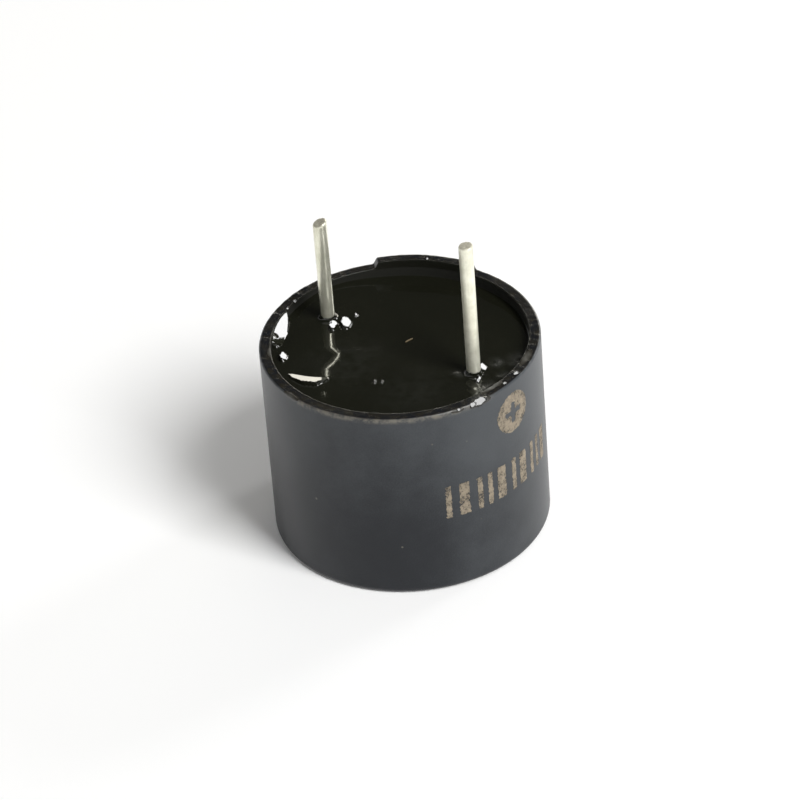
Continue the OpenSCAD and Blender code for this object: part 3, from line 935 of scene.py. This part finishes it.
def potting_points(looks):
    """First pole, rings from the foot of the resin up and inwards over its surface, last pole, and masks."""
    turns = all_round(POUR_COLUMNS)
    middle = MIDDLE_R * MM
    outer = np.linspace(BORE_R, middle, POUR_RINGS - MIDDLE_RINGS, endpoint=False)
    radii = np.concatenate([[BORE_R], outer, np.linspace(middle, 0, MIDDLE_RINGS, endpoint=False)])
    x = np.append(radii[:, None] * np.cos(turns), 0)
    y = np.append(radii[:, None] * np.sin(turns), 0)
    z, wet = pour_height(x, y, looks)
    z[:POUR_COLUMNS] = BOARD_TOP
    points = np.concatenate([[[0, 0, BOARD_TOP]], np.stack([x, y, z], axis=-1)])
    return points, {"wet": np.append(0, wet), "dull": np.append(0, dull_and_sheen_mask(x, y))}


# Pins

# The pins: node, place along X, lean of the sheared tip along X and Y, seed of its tears, and name, metallic
# and roughness of the finish
PINS = [
    ("positive_pin", POSITIVE_X, (0.06, 0.10), 51, ("dull_tin", 0.45, 0.26)),
    ("negative_pin", NEGATIVE_X, (0.22, 0.26), 52, ("bright_tin", 0.70, 0.18)),
]
# Powers of a round and of a nearly square section
ROUND = 2
SQUARE = 8
# Width of the softened edges
PIN_SOFT = 0.05 * MM
# The tip: depth where the wire ends, depth and inset of its rings, and shares of the radius on the cut end
TIP_DEPTH = 0.12 * MM
TIP_RINGS = [(0.06 * MM, 0), (0.02 * MM, 0.02 * MM), (0, 0.05 * MM)]
CUT_SHARES = (0.6, 0.25)
# Depths below the tip between which it leans, and depth and size of the tears in it
LEAN_FROM, LEAN_TO = 0.5 * MM, 0.1 * MM
TEAR_DEPTH = 0.012 * MM
TEAR_SIZE = 0.16 * MM


def pin_sections(node, looks):
    """Sections up a pin from its head to its tip: height, half sizes along X and Y, and power."""
    low, high = (corner.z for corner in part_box(node))
    mount = PIN_MOUNTS[f"{node}_wire"]
    free_z = min(mount["pos_m"][2] - mount["dims"]["length_mm"] / 2 * MM, RIM_Z - POUR_DROP * MM)
    root_z = low + looks.head_t
    wide, narrow = looks.head_r, looks.head_r - PIN_SOFT
    head = [(low, narrow), (low + PIN_SOFT, wide), (root_z - PIN_SOFT, wide), (root_z, narrow)]
    root = [(z, looks.root_t / 2, looks.root_w / 2, SQUARE) for z in (root_z, free_z - PIN_SOFT)]
    wire = [(z, PIN_R) for z in np.linspace(free_z, high - TIP_DEPTH, WIRE_RINGS)]
    wire += [(high - depth, PIN_R - inset) for depth, inset in TIP_RINGS]
    wire += [(high, PIN_R * share) for share in CUT_SHARES]
    return [(z, r, r, ROUND) for z, r in head] + root + [(z, r, r, ROUND) for z, r in wire]


def pin_points(node, pin_x, looks, lean, seed):
    """First pole, rings up a pin from its head to its sheared tip, last pole, and a mask of the cut end."""
    low, high = (corner.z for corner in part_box(node))
    turns = all_round(PIN_COLUMNS)
    c, s = np.cos(turns), np.sin(turns)
    rings = []
    for z, half_x, half_y, power in pin_sections(node, looks):
        reach = (np.abs(c) ** power + np.abs(s) ** power) ** (-1 / power)
        rings.append(np.stack(np.broadcast_arrays(half_x * c * reach, half_y * s * reach, z), axis=-1))
    points = np.array(rings)
    near_tip = smooth_step(high - LEAN_FROM, high - LEAN_TO, points[..., 2])
    sheared = lean[0] * points[..., 0] + lean[1] * points[..., 1]
    torn = TEAR_DEPTH * ripples(points[..., :2], TEAR_SIZE, seed)
    points[..., 2] += near_tip * (sheared + np.minimum(torn, 0))
    points[..., 0] += pin_x
    cut = np.zeros(points.shape[:2])
    bare = len(CUT_SHARES) + 1
    cut[-bare:] = 1
    cut[-bare - 1] = 0.5
    last = (pin_x, 0, points[-1, :, 2].mean())
    mask = np.concatenate([[0], cut.ravel(), [1]])
    return with_poles((pin_x, 0, low), points, last), len(rings), mask


# Resin on the rim, and the fibre

# Smears: direction and half span in degrees, then place across the rim from its bore over its top to the
# wall, half width across and thickness, in millimetres
# The two at the right, by the bore, paint the soft grey reflection on the inner rim as pale resin.
RIM_SMEARS = [
    (-11, 7, 0.06, 0.22, 0.020), (15, 7, 0.18, 0.20, 0.016), (-20.5, 6, 0.52, 0.20, 0.020),
    (-31, 4, 0.50, 0.14, 0.014), (-104, 6, 0.45, 0.18, 0.014), (-138, 5, 0.0, 0.20, 0.016),
]
# How far smears reach down the bore and down the wall, how far their skin starts and their back lies below
# the rim's surface, and their raggedness with its size and seed
SMEAR_INSIDE = 0.22 * MM
SMEAR_OUTSIDE = 0.5 * MM
SMEAR_START = 0.006 * MM
SMEAR_BACK = 0.03 * MM
SMEAR_RAGGED = 0.15
SMEAR_FIELD = (1.1 * MM, 31)
# Angles of the points round the rim's inner and outer edge
INNER_ARC = np.linspace(0.2, math.pi / 2, 5)
OUTER_ARC = np.linspace(0, math.pi / 2, 8)
# Hardened beads: direction in degrees, then distance from the axis, height over the rim and radius in
# millimetres, and how many times as long as wide
RIM_BEADS = [
    (-24.1, 5.95, -0.09, 0.13, 1.2), (-20.2, 5.93, -0.07, 0.17, 2.2), (-30.5, 5.98, -0.06, 0.06, 1.6),
    (-5.5, 5.80, -0.04, 0.10, 1.1), (2.7, 5.79, -0.04, 0.13, 1.1), (-179.6, 5.52, 0.0, 0.08, 1.0),
    (-173.2, 5.50, 0.0, 0.05, 1.0), (112.9, 5.62, 0.30, 0.06, 1.0),
]
# The side on which the beads dried flat: direction and tilt in degrees, and the share of the radius left
BEAD_FLAT_TURN = -33
BEAD_FLAT_TILT = 45
BEAD_FLAT_SHARE = 0.55
# How lumpy the beads are: share, size in radii and first seed
BEAD_LUMPY = 0.13
BEAD_LUMP_SIZE = 1.1
BEAD_SEED = 60
# The textile fibre on the resin: its middle, half length, bow, radius and direction, then its taper and how
# blunt its ends are
LINT_X, LINT_Y = 0.02 * MM, 0.61 * MM
LINT_HALF = 0.21 * MM
LINT_BOW = 0.015 * MM
LINT_R = 0.032 * MM
LINT_TURN = 76
LINT_TAPER = 0.96
LINT_BLUNT = 4


def rim_line(looks):
    """Distances along the rim from its bore over its top to the wall, with radius and height there."""
    inner, outer = looks.inner_round, looks.rim_round
    stations = [(BORE_R, RIM_Z - SMEAR_INSIDE), (BORE_R, RIM_Z - inner)]
    stations += [
        (BORE_R + inner * (1 - math.cos(a)), RIM_Z - inner * (1 - math.sin(a)))
        for a in INNER_ARC
    ]
    stations += [
        (CASE_R - outer * (1 - math.sin(a)), RIM_Z - outer * (1 - math.cos(a)))
        for a in OUTER_ARC
    ]
    line = np.array([*stations, (CASE_R, RIM_Z - SMEAR_OUTSIDE)])
    along = np.concatenate([[0], np.cumsum(np.hypot(*np.diff(line, axis=0).T))])
    places = np.linspace(0, along[-1], SMEAR_ROWS)
    return places, np.interp(places, along, line[:, 0]), np.interp(places, along, line[:, 1])


def smear_shell(looks):
    """Points and faces of all the resin smeared on the rim, and a mask of its thickness."""
    places, r, z = rim_line(looks)
    tangent = unit(np.stack([np.gradient(r), np.gradient(z)], axis=-1))
    r, z, out_r, out_z, across = (
        values[:, None] for values in (r, z, -tangent[:, 1], tangent[:, 0], places - SMEAR_INSIDE)
    )
    turns = np.linspace(-math.pi, math.pi, SMEAR_COLUMNS, endpoint=False)
    grid = np.stack(np.broadcast_arrays(across, turns * CASE_R), axis=-1)
    ragged = 1 + SMEAR_RAGGED * ripples(grid, *SMEAR_FIELD)
    thickness = np.full(ragged.shape, -SMEAR_START)
    for turn, span, middle, width, deep in RIM_SMEARS:
        off_turn = (np.degrees(turns) - turn + 180) % 360 - 180
        off = np.hypot(off_turn / span, (across - middle * MM) / (width * MM)) * ragged
        thickness += deep * MM * np.clip(1 - off * off, 0, None)
    lift = rim_lift(r * np.cos(turns), r * np.sin(turns), looks)
    outer, inner = (
        around(r + out_r * depth, z + out_z * depth + lift, turns) for depth in (thickness, -SMEAR_BACK)
    )
    wet = (thickness > 0).ravel()
    faces = [
        tuple(reversed(face)) for face in ring_faces(SMEAR_ROWS, SMEAR_COLUMNS, False)
        if any(wet[corner] for corner in face)
    ]
    points, faces, used = closed_shell(outer, inner, faces)
    thick = np.clip(thickness / thickness.max(), 0, 1).ravel()[used]
    return points, faces, np.concatenate([thick, thick])


def bead_shells():
    """Points and faces of the beads, each with one side dried flat."""
    upright, outward = heading(BEAD_FLAT_TILT)
    flat = around(outward, upright, math.radians(BEAD_FLAT_TURN))
    rises = np.linspace(-math.pi / 2, math.pi / 2, BEAD_ROWS + 2)[1:-1, None]
    rings = around(np.cos(rises), np.sin(rises), all_round(BEAD_COLUMNS))
    ball = with_poles((0, 0, -1), rings, (0, 0, 1))
    points, faces = [], []
    for index, (bead_turn, distance, rise, radius, stretch) in enumerate(RIM_BEADS):
        way = math.radians(bead_turn)
        along = np.array([-math.sin(way), math.cos(way), 0])
        long = ball + (stretch - 1) * (ball @ along)[:, None] * along
        lumps = ripples(long, BEAD_LUMP_SIZE, BEAD_SEED + index)
        lumpy = long * (1 + BEAD_LUMPY * lumps[:, None])
        cut = np.maximum(lumpy @ flat - BEAD_FLAT_SHARE, 0)
        middle = around(distance * MM, RIM_Z + rise * MM, way)
        points.append(middle + (lumpy - cut[:, None] * flat) * radius * MM)
        first = index * len(ball)
        shell = capped_faces(BEAD_ROWS, BEAD_COLUMNS)
        faces += [tuple(corner + first for corner in face) for face in shell]
    return np.concatenate(points), faces


def lint_points(looks):
    """First pole, rings along the fibre, and last pole."""
    c, s = heading(LINT_TURN)
    t = np.linspace(-1, 1, FIBRE_RINGS)
    side = LINT_BOW * (1 - t * t)
    x = LINT_X + LINT_HALF * t * c - side * s
    y = LINT_Y + LINT_HALF * t * s + side * c
    z = pour_height(x, y, looks)[0] + LINT_R
    radius = LINT_R * np.sqrt(1 - (LINT_TAPER * t) ** LINT_BLUNT)
    spine = np.stack([x, y, z], axis=-1)
    along = unit(np.gradient(spine, axis=0))
    sideways = unit(np.cross(along, (0, 0, 1)))
    upwards = np.cross(sideways, along)
    turns = all_round(FIBRE_COLUMNS)[:, None]
    spokes = np.cos(turns) * upwards[:, None] - np.sin(turns) * sideways[:, None]
    skin = spine[:, None] + radius[:, None, None] * spokes
    return with_poles(spine[0], skin, spine[-1])


# Ink

# The disc with the plus sign: direction in degrees and height in millimetres
MARK_TURN = -3.5
MARK_Z = 7.6
# The row of bars: direction of its start, height, each bar's place along the wall in millimetres and whether
# it is wide, and how many times as wide that is
ROW_TURN = -38.5
ROW_Z = 4.5
ROW_BARS = [
    (0.0, False), (0.62, True), (1.48, False), (2.0, False), (2.52, True),
    (3.38, False), (3.9, True), (4.76, False), (5.28, False), (5.8, True),
]
WIDE_BAR = 1.9
# The field that is searched for ink: room before the row and last direction in degrees, room below and above
INK_BEFORE = 4
INK_LAST_TURN = 40
INK_ROOM = 1.2
# Radius of the ink's corners, then depth of its ragged edge, with size and seed
INK_CORNER = 0.05 * MM
INK_RAGGED = 0.018 * MM
INK_FIELD = (0.22 * MM, 41)
# Drawing points to the ink's edge: least slope of the distance there, and cells that one may lie outside
LEAST_SLOPE = 0.5
EDGE_REACH = 0.35


def box_gap(x, y, width, height):
    """Signed distance from a box with round corners."""
    dx = np.abs(x) - width / 2 + INK_CORNER
    dy = np.abs(y) - height / 2 + INK_CORNER
    return np.hypot(np.maximum(dx, 0), np.maximum(dy, 0)) + np.minimum(np.maximum(dx, dy), 0) - INK_CORNER


def ink_gap(u, v, looks):
    """Signed distance from the ink's outline, at a distance u along the wall and a height v."""
    x, y = u - math.radians(MARK_TURN) * CASE_R, v - MARK_Z * MM
    upright = box_gap(x, y, looks.plus_w, looks.plus_l)
    level_arm = box_gap(x, y, looks.plus_l, looks.plus_w)
    disc = np.hypot(x, y) - looks.mark_d / 2
    gap = np.maximum(disc, -np.minimum(upright, level_arm))
    row_u = math.radians(ROW_TURN) * CASE_R
    for start, wide in ROW_BARS:
        width = looks.bar_w * (WIDE_BAR if wide else 1)
        bar = box_gap(u - row_u - start * MM - width / 2, v - ROW_Z * MM, width, looks.bar_h)
        gap = np.minimum(gap, bar)
    return gap + INK_RAGGED * ripples(np.stack([u, v], axis=-1), *INK_FIELD)


def ink_shell(looks):
    """Points and faces of the ink film, bent round the wall."""
    cell = INK_CELL
    first, last = (math.radians(turn) * CASE_R for turn in (ROW_TURN - INK_BEFORE, INK_LAST_TURN))
    u = np.arange(first, last, cell)
    v = np.arange((ROW_Z - INK_ROOM) * MM, (MARK_Z + INK_ROOM) * MM, cell)
    grid_u, grid_v = np.meshgrid(u, v)
    gap = ink_gap(grid_u, grid_v, looks)
    slope_v, slope_u = np.gradient(gap, cell)
    steep = np.maximum(np.hypot(slope_u, slope_v), LEAST_SLOPE)
    pull = np.where(np.abs(gap) < cell, gap / steep ** 2, 0)
    grid_u = grid_u - pull * slope_u
    grid_v = grid_v - pull * slope_v
    columns = len(u)
    inked = (gap < EDGE_REACH * cell).ravel()
    quads = (
        (a, a + 1, a + columns + 1, a + columns)
        for i in range(len(v) - 1) for a in range(i * columns, (i + 1) * columns - 1)
    )
    faces = [quad for quad in quads if all(inked[corner] for corner in quad)]
    outer, inner = (
        around(radius, grid_v, grid_u / CASE_R)
        for radius in (CASE_R + looks.thickness, CASE_R - looks.thickness)
    )
    return closed_shell(outer, inner, faces)[:2]


# Stage

# Half side of the floor and how far it lies below the part, in metres, and share of its colour in its fibres
FLOOR_HALF = 3.0
FLOOR_DROP = 0.01 * MM
FLOOR_FIBRES = 0.99
# Heights in degrees between which the pale horizon fades and the ceiling starts
HORIZON_RISES = (5, 22)
CEILING_RISES = (53, 68)
# Soft lamps: name, degrees to the right of straight behind, degrees above the floor, then distance, width and
# height in metres
LAMPS = [
    ("key", 136, 47.5, 0.90, 0.34, 0.45),
    ("window", 54, 26, 0.80, 0.15, 0.15),
    ("strip", 17, 10, 0.80, 0.64, 0.20),
]
WHITE = (1, 1, 1)
BLACK = (0, 0, 0)
# The camera's picture: focal length and side in pixels, sensor in millimetres, the pixel at which the origin
# lies, and the nearest distance that is seen
FOCAL_PX = 4200
PICTURE_PX = 800
SENSOR_MM = 36
ORIGIN_PX = (412.982, 508.881)
CLIP_START = 0.01


def seen_rays(paint):
    """Mask of the rays by which the camera sees the floor, straight or by gloss or glass."""
    camera, glossy, through = (
        paint.node("ShaderNodeLightPath", output=name)
        for name in ("Is Camera Ray", "Is Glossy Ray", "Is Transmission Ray")
    )
    return paint.ramp(camera + glossy + through, 0, 1)


def make_floor(looks):
    """A wide pale floor that keeps the shadow and is white where light falls on it."""
    paint, place = new_paint("floor_paper")
    fibres = paint.noise(place, per_mm=0.02, detail=3.0)
    pale = tuple(value * FLOOR_FIBRES for value in looks.floor)
    paper = paint.surface(
        Base_Color=paint.mix(fibres, pale, looks.floor),
        Roughness=1.0,
        Specular_IOR_Level=0.0,
        Emission_Color=paint.mix(seen_rays(paint), BLACK, WHITE),
        Emission_Strength=looks.lift,
    )
    mesh = bpy.data.meshes.new("floor")
    signs = ((-1, -1), (1, -1), (1, 1), (-1, 1))
    corners = [(x * FLOOR_HALF, y * FLOOR_HALF, -FLOOR_DROP) for x, y in signs]
    mesh.from_pydata(corners, [], [(0, 1, 2, 3)])
    mesh.materials.append(paper)
    floor = add_object("floor", mesh)


def make_world(looks):
    """A dim room that is pale near the floor and overhead."""
    world = bpy.data.worlds.new("room")
    paint = Paint(world)
    rise = paint.axis(paint.node("ShaderNodeTexCoord", output="Generated"), "Z")
    low, middle, high = (
        paint.node("ShaderNodeBackground", None, {"Color": WHITE, "Strength": strength})
        for strength in (looks.horizon, looks.dome, looks.ceiling)
    )
    above_floor, overhead = (
        paint.ramp(rise, *(math.sin(math.radians(degrees)) for degrees in rises))
        for rises in (HORIZON_RISES, CEILING_RISES)
    )
    walls = paint.node("ShaderNodeMixShader", None, {0: above_floor, 1: low, 2: middle})
    room = paint.node("ShaderNodeMixShader", None, {0: overhead, 1: walls, 2: high})
    paint.end(room, "ShaderNodeOutputWorld")
    bpy.context.scene.world = world


def view_axes(looks):
    """Right, up and back of an upright camera, and the level direction that it looks in."""
    turn, rise = looks.view_turn, looks.view_rise
    right = Vector((math.cos(turn), math.sin(turn), 0))
    ahead = Vector((-math.sin(turn), math.cos(turn), 0))
    back = Vector((0, 0, math.sin(rise))) - ahead * math.cos(rise)
    return right, back.cross(right), back, ahead


def make_lamps(looks):
    """A soft light at the front right, a small one at the right and a low one behind."""
    right, _, _, ahead = view_axes(looks)
    for name, turn, rise, distance, width, height in LAMPS:
        forth, aside = heading(turn)
        level_reach, up = heading(rise)
        way = (ahead * forth + right * aside) * level_reach + Vector((0, 0, up))
        lamp = bpy.data.lights.new(name, "AREA")
        lamp.shape = "RECTANGLE"
        lamp.size = width
        lamp.size_y = height
        lamp.energy = getattr(looks, name) * math.pi * width * height
        lamp.color = looks.warm if name == "strip" else WHITE
        holder = add_object(name, lamp)
        holder.matrix_world = Matrix.LocRotScale(way * distance, way.to_track_quat("Z", "Y"), None)
        holder.visible_camera = False


def make_camera(looks):
    """The camera at the photograph's angle."""
    right, up, back, _ = view_axes(looks)
    roll = looks.view_roll
    distance = looks.view_distance
    level_axis = right * math.cos(roll) - up * math.sin(roll)
    upright_axis = right * math.sin(roll) + up * math.cos(roll)
    off_right = (ORIGIN_PX[0] - PICTURE_PX / 2) / FOCAL_PX * distance
    off_up = (PICTURE_PX / 2 - ORIGIN_PX[1]) / FOCAL_PX * distance
    place = back * distance - level_axis * off_right - upright_axis * off_up
    data = bpy.data.cameras.new("camera")
    data.lens = FOCAL_PX / PICTURE_PX * SENSOR_MM
    data.sensor_width = SENSOR_MM
    data.clip_start = CLIP_START
    camera = add_object("camera", data)
    axes = Matrix((level_axis, upright_axis, back)).transposed()
    camera.matrix_world = Matrix.Translation(place) @ axes.to_4x4()
    bpy.context.scene.camera = camera


# Operators

class BUZZER_OT_stage(bpy.types.Operator):
    """Makes the floor, the lights and the camera"""

    bl_idname = "buzzer.stage"
    bl_label = "Stage"

    def execute(self, context):
        looks = context.scene.buzzer_looks.stage
        make_floor(looks)
        make_world(looks)
        make_lamps(looks)
        make_camera(looks)
        context.scene.view_settings.view_transform = "Standard"
        return {"FINISHED"}


class BUZZER_OT_case(bpy.types.Operator):
    """Makes the moulded case"""

    bl_idname = "buzzer.make_case"
    bl_label = "Case"

    def execute(self, context):
        looks = context.scene.buzzer_looks.case
        points = case_points(looks)
        faces = ring_faces(*points.shape[:2], True)
        add_piece("case_moulding", points, faces, case_finish(looks), "case_plastic", "case")
        return {"FINISHED"}


class BUZZER_OT_potting(bpy.types.Operator):
    """Makes the poured resin, the resin on the rim and the fibre that lies on it"""

    bl_idname = "buzzer.make_potting"
    bl_label = "Potting"

    def execute(self, context):
        looks = context.scene.buzzer_looks
        points, masks = potting_points(looks.potting)
        faces = capped_faces(POUR_RINGS + 1, POUR_COLUMNS)
        resin = potting_finish("black_epoxy", looks.potting, POUR_ROUGH)
        add_piece("potting_pour", points, faces, resin, "black_epoxy", "epoxy_potting", masks)
        points, faces, thick = smear_shell(looks.case)
        smeared = smear_finish(looks.potting, looks.case.rim)
        add_piece("rim_resin", points, faces, smeared, "black_epoxy", None, {"thick": thick})
        points, faces = bead_shells()
        beaded = potting_finish("bead_resin", looks.potting, BEAD_ROUGH)
        add_piece("resin_beads", points, faces, beaded, "black_epoxy", None, {"wet": np.ones(len(points))})
        faces = capped_faces(FIBRE_RINGS, FIBRE_COLUMNS)
        add_piece("lint_fibre", lint_points(looks.potting), faces, lint_finish())
        return {"FINISHED"}


class BUZZER_OT_pins(bpy.types.Operator):
    """Makes the two tinned pins"""

    bl_idname = "buzzer.make_pins"
    bl_label = "Pins"

    def execute(self, context):
        looks = context.scene.buzzer_looks.pins
        for node, pin_x, lean, seed, tin in PINS:
            points, rows, cut = pin_points(node, pin_x, looks, lean, seed)
            faces = capped_faces(rows, PIN_COLUMNS)
            name = node.replace("pin", "wire")
            add_piece(name, points, faces, pin_finish(looks, *tin), "tinned_metal", node, {"cut": cut})
        return {"FINISHED"}


class BUZZER_OT_ink(bpy.types.Operator):
    """Makes the ink marks on the wall"""

    bl_idname = "buzzer.make_ink"
    bl_label = "Ink marks"

    def execute(self, context):
        looks = context.scene.buzzer_looks.ink
        add_piece("ink_marks", *ink_shell(looks), ink_finish(looks))
        return {"FINISHED"}


class BUZZER_OT_inner(bpy.types.Operator):
    """Gives the pieces sealed inside their finishes"""

    bl_idname = "buzzer.finish_inner"
    bl_label = "Inner pieces"

    def execute(self, context):
        for node, finish in inner_finishes().items():
            piece = frame["nodes"][node]
            piece.data.materials.clear()
            piece.data.materials.append(finish)
        return {"FINISHED"}


# Panel and registration

OPERATORS = (
    BUZZER_OT_stage, BUZZER_OT_case, BUZZER_OT_potting, BUZZER_OT_pins, BUZZER_OT_ink, BUZZER_OT_inner,
)


class BUZZER_PT_panel(bpy.types.Panel):
    """Lists the sizes, colours and steps of the buzzer's looks"""

    bl_idname = "BUZZER_PT_panel"
    bl_label = "Buzzer"
    bl_space_type = "VIEW_3D"
    bl_region_type = "UI"
    bl_category = "Buzzer"

    def draw(self, context):
        looks = context.scene.buzzer_looks
        for name in ("case", "potting", "pins", "ink", "stage"):
            group = getattr(looks, name)
            box = self.layout.box()
            box.label(text=name.capitalize())
            for prop in group.__annotations__:
                box.prop(group, prop)
        for operator in OPERATORS:
            self.layout.operator(operator.bl_idname)


CLASSES = (
    CaseLooks, PottingLooks, PinLooks, InkLooks, StageLooks, BuzzerLooks, *OPERATORS, BUZZER_PT_panel,
)


def register():
    """Registers the classes and the scene's settings."""
    for cls in CLASSES:
        bpy.utils.register_class(cls)
    bpy.types.Scene.buzzer_looks = PointerProperty(type=BuzzerLooks)


def unregister():
    """Takes the settings and the classes away again."""
    del bpy.types.Scene.buzzer_looks
    for cls in reversed(CLASSES):
        bpy.utils.unregister_class(cls)


def main():
    """Builds the looks."""
    register()
    bpy.ops.buzzer.stage()
    bpy.ops.buzzer.make_case()
    bpy.ops.buzzer.make_potting()
    bpy.ops.buzzer.make_pins()
    bpy.ops.buzzer.make_ink()
    bpy.ops.buzzer.finish_inner()


if __name__ == "__main__":
    main()
